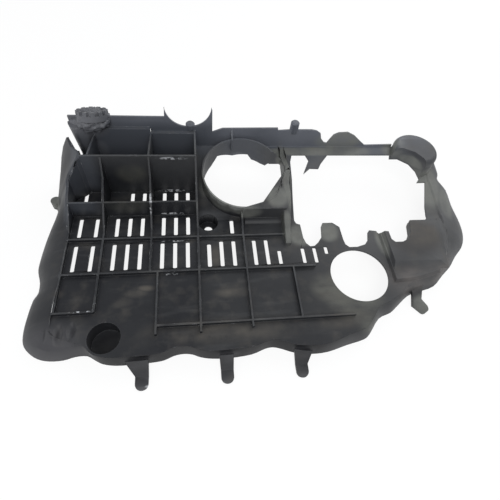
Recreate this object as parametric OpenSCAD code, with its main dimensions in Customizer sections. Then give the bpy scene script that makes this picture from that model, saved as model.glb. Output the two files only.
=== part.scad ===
// Engine splash shield: one moulded tray, ribs upwards, resting on its skirt.
// Origin on the axis of the screw hole, on the floor of its cup.
// +X runs along the long ribs, +Y towards the tall back wall, +Z out of the ribbed face.

/* [Rib grid] */
// Distance between neighbouring cross ribs
column_pitch = 60; // [50:1:70]
// Width of the narrow first column beside the left wall
first_column = 45.5; // [38:0.5:52]
// X of the rib that runs past the screw cup
main_rib_x = -14.5; // [-22:0.5:-12]
// Y of the tall rib nearest the back wall
row_1_y = 59.5; // [50:0.5:66]
// Y of the second long rib
row_2_y = 16.5; // [12:0.5:22]
// Y of the third long rib, between the two slot rows
row_3_y = -25.5; // [-32:0.5:-20]
// Y of the fourth long rib, below the slots
row_4_y = -76.5; // [-84:0.5:-70]
// Y of the short rib that closes the left cell
row_5_y = -126; // [-134:1:-118]
// Y of the last long rib
row_6_y = -147; // [-152:0.5:-140]
// Y of the front edge of the floor
front_y = -178; // [-190:1:-170]
// Y of the front face of the back wall
back_y = 118; // [108:1:126]
// Thickness of every rib
rib_t = 2.5; // [1.6:0.1:3.4]
// Height of the low ribs over the floor
low_rib = 5; // [3:0.5:8]
// Height of the second long rib over the floor
mid_rib = 27; // [18:1:34]
// Height of the tall rib over the floor
tall_rib = 67; // [50:1:72]

/* [Floor] */
// Thickness of the floor
floor_t = 2.5; // [1.8:0.1:3.4]
// Height of the floor face over the seat of the screw cup
floor_z = 15; // [11:0.5:20]
// Rise of the raised deck per millimetre of depth
deck_slope = 0.28; // [0.18:0.01:0.34]
// Y where the deck starts to rise
deck_y = 4; // [0:0.5:8]
// Height of the raised pad beside the service hole
pad_h = 9; // [4:0.5:14]

/* [Cooling slots] */
// Width of a slot
slot_w = 5; // [3:0.5:7]
// Distance between slots of one cell
slot_pitch = 16.2; // [13:0.1:18]
// Distance between the two slots of the narrow column
first_slot_pitch = 20.4; // [15:0.1:23]
// Gap from a slot end to the middle of the next rib
slot_gap = 6.5; // [4:0.5:9]
// Corner radius of a slot
slot_r = 1.4; // [0.4:0.1:2.2]

/* [Screw cup] */
// Radius of the mouth of the cup
cup_r = 13; // [10:0.5:15]
// Radius of the screw hole
screw_r = 5.5; // [3:0.25:7]
// Wall and floor of the cup
cup_wall = 2.5; // [1.8:0.1:3.2]

/* [Blind tube] */
// X of the tube
tube_x = -121; // [-126:1:-112]
// Y of the tube
tube_y = -156; // [-158:1:-150]
// Inner radius of the tube
tube_r = 18; // [13:0.5:19]
// Wall of the tube
tube_wall = 2.4; // [1.8:0.1:3.2]

/* [Service hole] */
// X of the service hole
service_x = 193; // [184:1:196]
// Y of the service hole
service_y = -91; // [-98:1:-88]
// Radius of the service hole
service_r = 38.5; // [30:0.5:40]

/* [Back wall] */
// Thickness of the back wall
back_t = 2.5; // [1.8:0.1:3.4]
// Height of the wall left of the saddle, over the floor
back_h = 81; // [70:0.5:88]
// Height of the wall right of the saddle, over the floor
back_right_h = 63; // [54:0.5:72]
// Depth of the ledge inside the deep pockets
ledge_w = 5; // [3:0.5:8]
// Height of the ledge in the second column, over the floor
ledge_2_h = 65; // [52:1:68]
// Height of the ledge in the third column, over the floor
ledge_3_h = 58; // [46:1:62]
// X of the middle of the saddle
saddle_x = -22.2; // [-26:0.2:-16]
// Radius of the saddle
saddle_r = 31.2; // [28:0.1:34]
// Height of the lowest point of the saddle over the floor
saddle_h = 65.4; // [60:0.2:74]
// Height of the horn tips over the floor
horn_h = 95; // [90:1:104]
// Radius of the two pegs on the edge of the wall
peg_r = 6.3; // [4.5:0.1:7]

/* [Collar] */
// X of the middle of the collar
collar_x = 50; // [46:0.5:54]
// Y of the middle of the collar
collar_y = 57.5; // [52:0.5:62]
// Outer radius of the collar
collar_r = 56.8; // [50:0.1:60]
// Wall of the collar
collar_wall = 2.2; // [1.6:0.1:4]
// Height of the middle of the collar rim over the floor
collar_h = 39.2; // [30:0.2:46]
// Slope of the rim of the collar
collar_slope = 0.21; // [0.1:0.01:0.3]
// Depth of the collar from rim to foot
collar_depth = 43.5; // [36:0.5:46]
// Radius of the flare at the foot of the collar
flare_r = 3.5; // [2:0.5:4.5]
// Radius of the flare along the straight front of the collar
front_flare = 8; // [4:0.5:12]

/* [Bar] */
// Middle of the bar beside the collar
bar_x = 113.5; // [112:0.5:115]
// Width of the bar
bar_w = 8; // [6:0.5:9]

/* [Large opening] */
// X of the left side of the large opening
opening_left = 121; // [118:0.5:126]
// X of the right side of the large opening
opening_right = 324; // [314:1:328]
// Y of the near side of the large opening
opening_near = -5; // [-9:0.5:0]
// Y of the far side of the large opening
opening_far = 104; // [98:0.5:110]

/* [Corner boss] */
// X of the corner boss
boss_x = 320; // [314:0.5:326]
// Y of the corner boss
boss_y = 98.4; // [92:0.4:104]
// Radius of the corner boss
boss_r = 33.8; // [30:0.2:36]
// Height of the rim of the boss over the floor
boss_h = 47; // [40:0.5:52]
// Height of the rounded edge of the boss
boss_l = 7; // [5:0.5:12]
// Width of the rounded edge of the boss
boss_round = 8; // [6:0.5:14]

/* [Skirt and tabs] */
// Horizontal thickness of the skirt
skirt_t = 3; // [2:0.1:4]
// Height of the rest rim, under the seat of the screw cup
rim_drop = 10; // [6:0.5:13]
// Width of a fixing tab
tab_w = 14.5; // [10:0.5:18]
// Length of a fixing tab
tab_l = 28; // [20:1:34]
// Thickness of a fixing tab
tab_t = 3.2; // [2.2:0.1:4]

/* [Corner post] */
// X of the crown on the corner post
crown_x = -146; // [-152:0.5:-142]
// Y of the crown on the corner post
crown_y = 121; // [116:0.5:126]
// Lean of the crown towards the back
crown_tilt = 24; // [20:1:40]
// Length of the crown along its axis
crown_l = 12; // [9:0.5:15]
// Outer radius of the crown
crown_r = 20; // [17:0.5:23]
// Height of the top of the crown over the floor
crown_h = 88.5; // [82:0.5:94]
// Number of notches round the crown
crown_notches = 12; // [8:1:16]

/* [View] */
// Steps along each stretch of the skirt
skirt_steps = 3; // [2:1:5]
// Name of the piece to draw

/* [Hidden] */
$fn = 48;
over = 1;
far = 400;
half_rib = rib_t / 2;
deck_left = main_rib_x;
left_wall_x = main_rib_x - 2 * column_pitch - first_column;
floor_under = floor_z - floor_t;
rim_z = -rim_drop;
low_z = floor_z + low_rib;
mid_z = floor_z + mid_rib;
tall_z = floor_z + tall_rib;
back_top = floor_z + back_h;
back_right_top = floor_z + back_right_h;
horn_z = floor_z + horn_h;
saddle_z = floor_z + saddle_h + saddle_r;
ledge_2 = floor_z + ledge_2_h;
ledge_3 = floor_z + ledge_3_h;
boss_top = floor_z + boss_h;
collar_z = floor_z + collar_h;
collar_tilt = atan(collar_slope);
crown_top = floor_z + crown_h;

// Cross ribs 0 to 5, then the service hole and the right side of the opening
function col(i) = i == 0 ? left_wall_x
  : i <= 5 ? main_rib_x + (i - 3) * column_pitch
  : i == 6 ? service_x
  : opening_right;

// Back wall 0, long ribs 1 to 6, then the front edge and the service hole
function row(i) = [back_y, row_1_y, row_2_y, row_3_y, row_4_y, row_5_y, row_6_y, front_y, service_y][i];

// Height of the deck face at a depth y
function deck(y) = floor_z + max(0, y - deck_y) * deck_slope;

// Height of the plane of the collar rim at a depth y
function rim_plane(y) = collar_z + (y - collar_y) * collar_slope;

// Smooth value through p1 and p2, with p0 and p3 as neighbours
function between(p0, p1, p2, p3, t) =
  0.5 * (2 * p1 + (p2 - p0) * t + (2 * p0 - 5 * p1 + 4 * p2 - p3) * t * t
  + (3 * p1 - p0 - 3 * p2 + p3) * t * t * t);

// A list of points made finer by a smooth curve through them
function finer(p, n) = [
  for (i = [0 : len(p) - 2], s = [0 : n - 1])
    between(p[max(i - 1, 0)], p[i], p[i + 1], p[min(i + 2, len(p) - 1)], s / n),
  p[len(p) - 1]];

// Stations of the skirt from the left end round the front to the right end:
// cross rib, x from it, long rib, y from it, top height, rim out in x, rim out in y,
// rim height, roundness
stations = [
  [0, -5, 0, -10, 69.5, -28, -3, rim_z, 0.32],
  [0, 5.5, 1, 24, 73.5, -38.5, -4, rim_z, 0.3],
  [0, 17, 1, 6, 80, -50.5, 0, rim_z, 0.25],
  [0, 14, 1, -2, 75, -47.3, 0, rim_z, 0.2],
  [0, 4.5, 1, -8, 62, -37.2, 0, rim_z, 0.15],
  [0, 0, 1, -15, 54.5, -29.8, 0, rim_z, 0.15],
  [0, 0, 2, 20, 50, -27.3, 0, rim_z, 0.15],
  [0, 0, 2, 4, 44, -29.5, 1, rim_z, 0.2],
  [0, 0, 2, -12, 34, -34.5, 0, rim_z, 0.25],
  [0, 0, 3, 9, low_z, -36.8, 0, rim_z, 0.45],
  [0, 0, 3, -17, low_z, -38, 0, rim_z, 0.5],
  [0, 0, 4, 22, low_z, -36.8, 0, rim_z, 0.5],
  [0, 0, 4, 6, low_z, -31.9, 0, rim_z, 0.5],
  [0, 0, 4, -12, low_z, -31.3, 0, rim_z, 0.5],
  [0, -1, 4, -22, low_z, -34.7, 0, rim_z, 0.5],
  [0, -2, 5, 11, low_z, -35.4, 0, rim_z, 0.5],
  [0, -3, 5, -4, 17, -34.8, -3, rim_z, 0.5],
  [0, -2, 6, 4, floor_z, -33.2, -5, rim_z, 0.55],
  [0, 4, 6, -4, floor_z, -31.4, -7.5, rim_z, 0.6],
  [0, 12, 6, -8, floor_z, -28, -11.5, rim_z, 0.6],
  [0, 20, 6, -10, floor_z, -23, -13, rim_z, 0.6],
  [0, 27, 6, -12, floor_z, -15, -11, rim_z, 0.6],
  [0, 33, 6, -14, floor_z, -8.5, -6, rim_z, 0.5],
  [0, 41, 7, 12, floor_z, -4, -1, rim_z, 0.3],
  [0, 49, 7, 6, floor_z, -2, -1, rim_z, 0.3],
  [1, 10, 7, 1.5, floor_z, 0, -1, rim_z, 0.3],
  [1, 24, 7, -1, floor_z, 0, -1.2, rim_z, 0.3],
  [1, 43, 7, -1, floor_z, 0, -1.4, rim_z, 0.3],
  [2, 4, 7, -0.6, floor_z, 0, -1, rim_z, 0.3],
  [2, 17, 7, 1, floor_z, 0, -1, rim_z, 0.3],
  [2, 28, 7, 5.3, floor_z, 0, -1, rim_z, 0.3],
  [2, 39, 7, 6.8, floor_z, 0, -1, rim_z, 0.3],
  [3, -11, 7, 5.4, floor_z, 0, -1, rim_z, 0.3],
  [3, -1.5, 7, 1.5, floor_z, 0, -1, rim_z, 0.3],
  [3, 11.5, 7, -0.7, floor_z, 0, -1.4, rim_z, 0.3],
  [3, 32, 7, -0.7, floor_z, 0, -2.2, rim_z, 0.3],
  [4, -2, 7, 1, floor_z, 0, -1.5, rim_z, 0.3],
  [4, 15, 7, 6.2, floor_z, 0, -1, rim_z, 0.3],
  [4, 25, 7, 7.2, floor_z, 0, -1, rim_z, 0.3],
  [4, 35, 7, 4.5, floor_z, 0, -1, rim_z, 0.3],
  [4, 48, 7, -0.5, floor_z, 1, -1.3, rim_z, 0.3],
  [5, 7, 7, -2.5, floor_z, 2, -2.5, rim_z, 0.3],
  [5, 27, 7, -1.5, floor_z, 4, -2.5, rim_z, 0.3],
  [5, 52, 7, 6.5, floor_z, 4, -4, rim_z, 0.3],
  [6, -13, 7, 13.5, floor_z, 5, -5.5, rim_z, 0.4],
  [6, -2, 7, 22, floor_z, 4.5, -7, rim_z, 0.4],
  [6, 14, 8, -47, floor_z, 6, -6, rim_z, 0.4],
  [6, 31, 8, -40, floor_z, 7, -6, rim_z, 0.4],
  [6, 45, 8, -32, floor_z, 6, -5, rim_z, 0.4],
  [6, 63, 8, -18, floor_z, 7, -5.5, rim_z, 0.4],
  [7, -48, 8, -9, floor_z, 5, -9, rim_z, 0.4],
  [7, -27, 8, 1, floor_z, 9, -12, rim_z, 0.4],
  [7, -7, 8, 15, floor_z, 9, -10, rim_z, 0.4],
  [7, 6, 8, 29, floor_z, 14, -10, rim_z, 0.4],
  [7, 14, 8, 43, floor_z, 21, -8, rim_z, 0.4],
  [7, 20, 8, 57, floor_z, 32.5, -6, rim_z, 0.4],
  [7, 23, 8, 73, floor_z, 39.5, -7, rim_z, 0.4],
  [7, 23, 8, 89, floor_z + 1.5, 43.5, -7, rim_z + 2, 0.4],
  [7, 22, 8, 103, deck(10) + 1.5, 41.5, -4, rim_z + 8, 0.4],
  [7, 21, 8, 121, deck(28) + 1.5, 35.5, -1, rim_z + 16, 0.4],
  [7, 19, 8, 141, deck(48) + 1.5, 34, 4, rim_z + 24, 0.4],
  [7, 17, 8, 156, deck(63) + 1.5, 27, 7, rim_z + 28, 0.4],
  [7, 21, 8, 166, deck(73) + 1.5, 25, 7, rim_z + 32, 0.4],
  [7, 24, 8, 181, deck(88) + 1.5, 18, 8, rim_z + 40, 0.4]];

skirt = finer(stations_m(stations), skirt_steps);

// Stations turned into [top point, rim offset, rim height, roundness] in one vector
function stations_m(s) = [for (a = s)
  [col(a[0]) + a[1], row(a[2]) + a[3], a[4], a[5], a[6], a[7], a[8]]];

// Inward direction of the skirt at sample i, level with the floor
function inward(i) =
  let (a = skirt[max(i - 1, 0)], b = skirt[min(i + 1, len(skirt) - 1)],
    dx = b[0] - a[0], dy = b[1] - a[1], l = sqrt(dx * dx + dy * dy))
  [-dy / l, dx / l];

// Curved outer line of the skirt at sample s from top (t 0) to rim (t 1)
function flank(s, t) =
  let (top = [s[0], s[1], s[2]], rim = [s[0] + s[3], s[1] + s[4], s[5]],
    bend = (top + rim) / 2 * (1 - s[6]) + [rim[0], rim[1], top[2]] * s[6])
  (1 - t) * (1 - t) * top + 2 * t * (1 - t) * bend + t * t * rim;

flank_steps = 4;
ring = 2 * (flank_steps + 1);

module skirt_wall() {
  pts = [for (i = [0 : len(skirt) - 1], j = [0 : ring - 1])
    let (out = j <= flank_steps, t = out ? j / flank_steps : (ring - 1 - j) / flank_steps,
      p = flank(skirt[i], t), n = inward(i))
    out ? p : [p[0] + n[0] * skirt_t, p[1] + n[1] * skirt_t, p[2]]];
  sides = [for (i = [0 : len(skirt) - 2], j = [0 : ring - 1])
    let (k = (j + 1) % ring, a = i * ring, b = a + ring)
    each [[a + j, b + k, a + k], [a + j, b + j, b + k]]];
  last = (len(skirt) - 1) * ring;
  caps = [for (j = [0 : flank_steps - 1])
    let (k = ring - 1 - j)
    each [[j, j + 1, k], [j + 1, k - 1, k],
      [last + j, last + k, last + j + 1], [last + j + 1, last + k, last + k - 1]]];
  polyhedron(points = pts, faces = concat(sides, caps), convexity = 10);
}

// Edge of the flat floor, half a skirt thickness inside the outer line
function edge(i) = [skirt[i][0] + inward(i)[0] * skirt_t / 2, skirt[i][1] + inward(i)[1] * skirt_t / 2];

module floor_outline() {
  polygon(concat(
    [for (i = [0 : len(skirt) - 1]) if (edge(i)[1] < deck_y || i < len(skirt) / 2) edge(i)],
    [[opening_right + 22, deck_y + 0.5], [deck_left, deck_y + 0.5],
      [deck_left, back_y - ledge_w + back_t / 2], [left_wall_x, back_y - ledge_w + back_t / 2]]));
}

module deck_outline() {
  polygon(concat(
    [[deck_left, back_y + back_t / 2], [deck_left, deck_y], [opening_right + 20, deck_y]],
    [for (i = [floor(len(skirt) / 2) : len(skirt) - 1]) if (edge(i)[1] > deck_y + 2) edge(i)],
    [[boss_x + boss_r - 6, boss_y], [boss_x, boss_y + boss_r - 6],
      [boss_x - boss_r + 8, back_y], [opening_left + 124, back_y + back_t / 2]]));
}

module slot(x, y0, y1) {
  for (sx = [-1, 1], y = [y0 + slot_r, y1 - slot_r])
    translate([x + sx * (slot_w / 2 - slot_r), y]) circle(slot_r, $fn = 16);
  translate([x - slot_w / 2 + slot_r, y0]) square([slot_w - 2 * slot_r, y1 - y0]);
  translate([x - slot_w / 2, y0 + slot_r]) square([slot_w, y1 - y0 - 2 * slot_r]);
}

module slots() {
  first_x = left_wall_x + first_column / 2;
  low = row_4_y + slot_gap;
  for (i = [-1, 1]) {
    slot(first_x + i * first_slot_pitch / 2, low, row_3_y - slot_gap);
    slot(first_x + 1 + i * first_slot_pitch / 2, row_3_y + slot_gap, row_2_y - slot_gap + 1.3);
  }
  slot(first_x - first_slot_pitch / 2 + 2, row_2_y + slot_gap + 4, row_1_y - 3);
  for (c = [1 : 4], i = [-1 : 1])
    slot(col(c) + column_pitch / 2 + i * slot_pitch, low,
      row_3_y - slot_gap + 1 - (c == 4 && i == 1 ? 18 : c == 3 && i == -1 ? 4 : 0));
  for (c = [1 : 2], i = [-1 : 1]) {
    slot(col(c) + column_pitch / 2 + 0.8 + i * slot_pitch, row_3_y + slot_gap, row_2_y - slot_gap + 1.3);
    if (c == 2 || i > -1)
      slot(col(c) + column_pitch / 2 + 1 + i * slot_pitch, row_2_y + slot_gap + 3.5, row_1_y - 3);
  }
  slot(col(3) + column_pitch / 2 + slot_pitch, row_3_y + slot_gap, row_2_y - 2 * slot_gap);
  slot(col(5) + 18.4, low, row_4_y + 30);
  slot(col(5) + 18.4 + slot_pitch, low, row_4_y + 30);
  slot(col(5) + 18.4 + 2 * slot_pitch, low + 13, row_4_y + 31);
}

// Plan of the large opening with its three notches and the hanging flap
module opening_plan() {
  difference() {
    polygon([
      [opening_left, opening_near + 5], [opening_left + 2, opening_near],
      [opening_left + 7, opening_near - 2],
      [opening_left + 7.5, -30], [opening_left + 10, -39], [opening_left + 14.8, -44.3],
      [opening_left + 21, -43.5], [opening_left + 27, -38.3], [opening_left + 33.8, -29],
      [opening_left + 36.6, -11.5], [opening_left + 40, -5.3],
      [opening_left + 54.5, -5.2], [opening_left + 63.3, -13.3], [opening_left + 63.8, -35.5],
      [opening_left + 65, -43], [opening_left + 69.6, -47.6], [opening_left + 81, -47.6],
      [opening_left + 93, -44], [opening_left + 98.9, -37], [opening_left + 102.5, -24],
      [opening_left + 105.5, -20.4], [opening_left + 116, -22], [opening_left + 117.4, -28],
      [opening_left + 128.5, -29.3], [opening_left + 128.8, -42.6], [opening_left + 133, -47.4],
      [opening_left + 144, -47.4], [opening_left + 154, -42.5], [opening_left + 161.2, -31],
      [opening_left + 165, -14.4], [opening_left + 168.5, -9],
      [opening_right - 5, opening_near + 1], [opening_right - 1, opening_near + 5],
      [opening_right + 0.8, 17], [opening_right + 9, 57.4], [opening_right - 3, 57],
      [opening_right + 2, 63.2], [opening_right - 1, 75.7], [opening_right - 9.5, 88.3],
      [opening_right - 26, 97.3], [opening_right - 40, 97.3], [opening_right - 38, opening_far],
      [opening_left + 8.3, opening_far], [opening_left + 4.7, 92],
      [opening_left + 4.1, 64.3], [opening_left + 1.7, 31.6]]);
    polygon([
      [opening_left + 28.5, opening_far + over], [opening_left + 33.2, 95],
      [opening_left + 22.6, 73], [opening_left + 33.5, 82], [opening_left + 47, 81.5],
      [opening_left + 52, 90], [opening_left + 65, opening_far + over]]);
  }
}

module through_cuts() {
  linear_extrude(far) {
    opening_plan();
    slots();
    translate([service_x, service_y]) circle(service_r, $fn = 96);
  }
}

module flat_floor() {
  difference() {
    translate([0, 0, floor_under]) linear_extrude(floor_t) floor_outline();
    through_cuts();
  }
}

// Side view of the deck, drawn in depth and height, run along X
module deck_slab(y1) {
  translate([-far, 0, 0]) rotate([90, 0, 90]) linear_extrude(3 * far)
    polygon([[deck_y, floor_under], [y1, deck(y1) - floor_t], [y1, deck(y1)], [deck_y, floor_z]]);
}

module raised_deck() {
  difference() {
    intersection() {
      linear_extrude(far) deck_outline();
      deck_slab(back_y + 30);
    }
    through_cuts();
    collar_place() cylinder(r = collar_r - collar_wall / 2, h = far, center = true, $fn = 96);
    collar_place() collar_corner(-1);
  }
}

// Frame of the collar: middle of the rim, tilted with it
module collar_place() {
  translate([collar_x, collar_y, collar_z]) rotate([collar_tilt, 0, 0]) children();
}

// Low rib along Y between two depths, with a rising top given as [y, z] points
module cross_rib(x, profile, t = rib_t, foot = floor_under + over / 2) {
  translate([x - t / 2, 0, 0]) rotate([90, 0, 90]) linear_extrude(t)
    polygon(concat([[profile[0][0], foot]], profile, [[profile[len(profile) - 1][0], foot]]));
}

// Straight wall between two plan points, its top running from z0 to z1
module leaning_wall(a, b, z0, z1) {
  d = b - a;
  l = norm(d);
  translate([a[0], a[1], 0]) rotate([0, 0, atan2(d[1], d[0])]) translate([0, half_rib, 0])
    rotate([90, 0, 0]) linear_extrude(rib_t)
      polygon([[0, floor_under + over / 2], [0, z0], [l, z1], [l, floor_under + over / 2]]);
}

module long_rib(y, x0, x1, z) {
  translate([x0, y - half_rib, floor_under + over / 2])
    cube([x1 - x0, rib_t, z - floor_under - over / 2]);
}

// Top line shared by the cross ribs of the deep pockets
function rise(y0) = [[y0, low_z], [row_3_y + 8.5, low_z], [row_3_y + 13.5, low_z + 2],
  [row_2_y - 18.5, low_z + 10], [row_2_y, mid_z], [row_1_y - 14.5, mid_z + 15],
  [row_1_y, tall_z]];

module ribs() {
  cross_rib(col(1), rise(row_5_y));
  ledge_y = back_y - ledge_w + over;
  cross_rib(col(2), concat(rise(row_4_y), [[ledge_y, ledge_3 - 0.6]]));
  cross_rib(col(3), concat(rise(row_6_y - 10.5), [[back_y + over, ledge_3 + 2],
    [back_y + over, ledge_3 - over], [ledge_y, ledge_3 - over]]));
  cross_rib(col(4), [[row_6_y - 8, low_z], [row_3_y, low_z], [deck_y + 2, deck(deck_y) + 18]]);
  cross_rib(col(5), [[row_6_y, low_z], [row_4_y, low_z]]);
  cross_rib(col(2) + 9.5, [[row_6_y - 10.5, low_z], [row_4_y, low_z]]);
  cross_rib(left_wall_x + 30, [[row_1_y, tall_z], [ledge_y, ledge_3 - 3]]);
  long_rib(row_1_y, left_wall_x + 21, col(3), tall_z);
  long_rib(row_2_y, left_wall_x, col(3), mid_z);
  long_rib(row_3_y, left_wall_x, col(5) - 3, low_z);
  long_rib(row_4_y, left_wall_x, col(5) + 30, low_z);
  long_rib(row_5_y, left_wall_x, col(1), low_z);
  long_rib(row_6_y, col(2) + 9.5, service_x - 21, low_z);
}

module left_wall() {
  x = left_wall_x + 1.8;
  cross_rib(x, [[row_5_y, low_z - over], [row_3_y + 9, low_z - over], [row_2_y - 12, 33],
    [row_2_y + 4, 43], [row_1_y - 15, 53.5]]);
  leaning_wall([x, row_1_y - 15.5], [left_wall_x + 16.5, row_1_y - 2], 53, 74);
  leaning_wall([left_wall_x + 16, row_1_y - 3], [left_wall_x + 21.5, row_1_y + 1], 74, tall_z - over);
  leaning_wall([left_wall_x + 19, row_1_y + 3], [left_wall_x - 3, back_y - 10.5], tall_z - 3, 67.5);
  cross_rib(x, [[back_y - 13, 41], [back_y - ledge_w + over, 41]]);
}

module screw_cup() {
  translate([0, 0, -cup_wall]) cylinder(r = cup_r + cup_wall, h = floor_z - over / 2 + cup_wall);
}

module blind_tube() {
  translate([tube_x, tube_y, rim_z + over])
    cylinder(r = tube_r + tube_wall, h = floor_z - rim_z - 1.5 * over);
}

// Insides of the cup, of the screw hole, of the blind tube and of the boss
module hollows() {
  cylinder(r = cup_r, h = 2 * floor_z);
  cylinder(r = screw_r, h = 2 * floor_z, center = true);
  translate([tube_x, tube_y, rim_z + over + tube_wall]) cylinder(r = tube_r, h = 2 * floor_z);
  linear_extrude(boss_top - boss_l / 2 - floor_t) boss_plan(floor_t + boss_round / 3);
}

// Upright panel in the plane of the back wall, given as [x, z] points
module back_panel(points, y, t) {
  translate([0, y + t, 0]) rotate([90, 0, 0]) linear_extrude(t) polygon(points);
}

module back_wall() {
  low_y = back_y - ledge_w;
  difference() {
    union() {
      back_panel([[left_wall_x + 2, floor_under], [deck_left, floor_under], [deck_left, ledge_3],
        [col(2), ledge_3], [col(2), ledge_2], [left_wall_x + 14, ledge_2]], low_y, back_t);
      translate([left_wall_x + 16, low_y, ledge_2 - back_t])
        cube([col(2) - left_wall_x - 16, ledge_w + over, back_t]);
      translate([col(2), low_y, ledge_3 - back_t]) cube([deck_left - col(2), ledge_w + over, back_t]);
      back_panel([[left_wall_x + 2, ledge_2 - back_t], [col(2), ledge_2 - back_t],
        [col(2), ledge_3 - back_t], [deck_left + over, ledge_3 - back_t],
        [saddle_x + saddle_r + 1.5, ledge_3 - 4], [saddle_x + saddle_r + 1.2, horn_z - 3],
        [saddle_x + saddle_r, horn_z], [saddle_x, horn_z], [saddle_x - saddle_r, horn_z],
        [saddle_x - saddle_r - 1, back_top], [left_wall_x + 2, back_top]], back_y, back_t);
      right_back_panel();
    }
    translate([saddle_x, back_y, saddle_z]) rotate([90, 0, 0])
      cylinder(r = saddle_r, h = 60, center = true, $fn = 96);
    translate([saddle_x - saddle_r, back_y - 30, saddle_z]) cube([2 * saddle_r, 60, far]);
  }
  peg(saddle_x + 2, saddle_z - saddle_r - 5, 9);
  peg(opening_left + 8.5, back_right_top - 8, 18);
}

// Round upright peg on the edge of the back wall
module peg(x, z, h) {
  translate([x, back_y + peg_r - 2, z]) cylinder(r = peg_r, h = h - 2);
  translate([x, back_y + peg_r - 2, z + h - 2 - 0.01]) cylinder(r1 = peg_r, r2 = peg_r - 2, h = 2);
}

module right_back_panel() {
  top = back_right_top;
  back_panel([[deck_left, deck(back_y) - floor_t], [deck_left, 72], [saddle_x + saddle_r + 2, top - 6],
    [col(4) - 20.5, top], [col(5) - 1, top + 1.5], [col(5), top - 3], [col(5) + 17, top - 1.6],
    [col(5) + 50, top - 1.2], [col(5) + 58, top - 2.8], [col(5) + 65, top - 7.5], [col(5) + 68, top - 17],
    [col(5) + 74, top - 24], [col(5) + 79, top - 25.5], [col(5) + 82, top - 18], [col(5) + 86, top - 10],
    [col(5) + 93, top - 6], [col(5) + 107, top - 5], [col(5) + 119, top - 11], [col(5) + 132, top - 22],
    [col(5) + 141, deck(back_y) + 2],
    [boss_x - boss_r + 5, deck(back_y) + 3.5],
    [boss_x - boss_r + 5, deck(back_y) - floor_t]], back_y, back_t);
  post_y = back_y - 9;
  cross_rib(col(4) - 7, [[post_y, rim_plane(post_y)], [back_y + over, top - 1]], rib_t, deck(post_y));
}

// Square corner of the opening between the collar and the bar
module collar_corner(inset) {
  translate([0, -4 + inset, -far / 2]) cube([bar_x - bar_w / 2 - collar_x - inset, 36 - 2 * inset, far]);
}

module collar() {
  collar_place()
    difference() {
      union() {
        translate([0, 0, -collar_depth]) cylinder(r = collar_r, h = collar_depth, $fn = 96);
        translate([0, 0, flare_r - collar_h - floor_t + 1]) flare();
        translate([36, 31, -29]) cube([bar_x - collar_x - 36, 3, 28.5]);
      }
      translate([0, 0, -far / 2]) cylinder(r = collar_r - collar_wall, h = far, $fn = 96);
      collar_foot_cut();
      collar_corner(0);
    }
  collar_web();
}

// Stepped lower edge of the collar, cut level under the front half and in steps under the back half
module collar_foot_cut() {
  low = -2 * collar_depth;
  translate([-far / 2, -far / 2 - 9, low]) cube([far, far / 2, 2 * collar_depth - 36]);
  rotate([90, 0, 0]) translate([0, 0, -far / 2]) linear_extrude(far / 2 + 12)
    polygon([[-far / 2, low], [-far / 2, -36], [-48, -40], [-41, -38], [-36, -32],
      [-32.5, -26], [-9, -38], [14, -34], [21, -44.5], [31, -45], [40, -40.5], [43.5, -29],
      [far / 2, -29], [far / 2, low]]);
}

// Concave flare round the foot of the collar
module flare() {
  rotate_extrude($fn = 96)
    difference() {
      translate([collar_r - 1, 0]) square([flare_r + 1, flare_r]);
      translate([collar_r + flare_r, flare_r]) circle(flare_r - 0.2, $fn = 48);
    }
}

// Flat web at the rim of the collar, with a straight chord edge, and its front wall with a flare
module collar_web() {
  front_y = deck_y - 3;
  top = rim_plane(front_y);
  collar_place() translate([0, 0, -collar_wall - 0.4]) linear_extrude(collar_wall)
    polygon([[24, -47.5], [53, -7.5], [bar_x - bar_w / 2 - collar_x - 0.5, 0], [bar_x - collar_x, 0],
      [bar_x - collar_x, -40], [col(5) - collar_x + 1, -57.5], [-3, -57.5], [-3, -55.6]]);
  translate([collar_x - 4, front_y, floor_under + over])
    cube([col(5) - collar_x + 4, rib_t, top - floor_under - 2 * over]);
  translate([collar_x, front_y, floor_z - over / 2]) rotate([90, 0, 90])
    linear_extrude(col(5) - collar_x) difference() {
      translate([-front_flare, 0]) square([front_flare + over, front_flare]);
      translate([-front_flare, front_flare]) circle(front_flare - 0.2, $fn = 48);
    }
}

// Room above the underside of the floor and of the sloping deck
module above_floor() {
  lift = floor_t / 3 - floor_t;
  translate([-far, 0, 0]) rotate([90, 0, 90]) linear_extrude(3 * far)
    polygon([[-far, floor_z + lift], [deck_y, floor_z + lift], [far, deck(far) + lift], [far, far],
      [-far, far]]);
}

// Rounded bar along the fifth cross rib, from its foot to the back wall
module bar() {
  half = bar_w / 2;
  intersection() {
    cross_rib(bar_x, [[row_3_y - 15, low_z - 2], [row_3_y - 11, low_z + 2], [row_3_y + 2, low_z + 7],
      [deck_y + 7, 41], [deck_y + 56, 55], [back_y + over, 66]], 6 * bar_w);
    above_floor();
    linear_extrude(far)
      polygon([[col(5) - half, row_3_y - far], [col(5) - half, deck_y + 8], [bar_x - half, collar_y],
        [bar_x - half, far], [bar_x + half, far], [bar_x + half, collar_y], [col(5) + bar_w, deck_y + 8],
        [col(5) + half, row_3_y], [col(5) + half, row_3_y - far]]);
  }
}

// Round corner boss in plan, cut off by the large opening
module boss_plan(inset) {
  offset(delta = -inset) difference() {
    translate([boss_x, boss_y]) circle(r = boss_r, $fn = 96);
    opening_plan();
  }
}

module corner_boss() {
  intersection() {
    translate([boss_x, boss_y, 0]) rotate_extrude($fn = 96)
      polygon(concat([[0, 0], [boss_r, 0]],
        [for (a = [0 : 15 : 90]) [boss_r - boss_round * (1 - cos(a)), boss_top - boss_l * (1 - sin(a))]],
        [[0, boss_top]]));
    linear_extrude(far) boss_plan(0);
    above_floor();
  }
}

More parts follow.
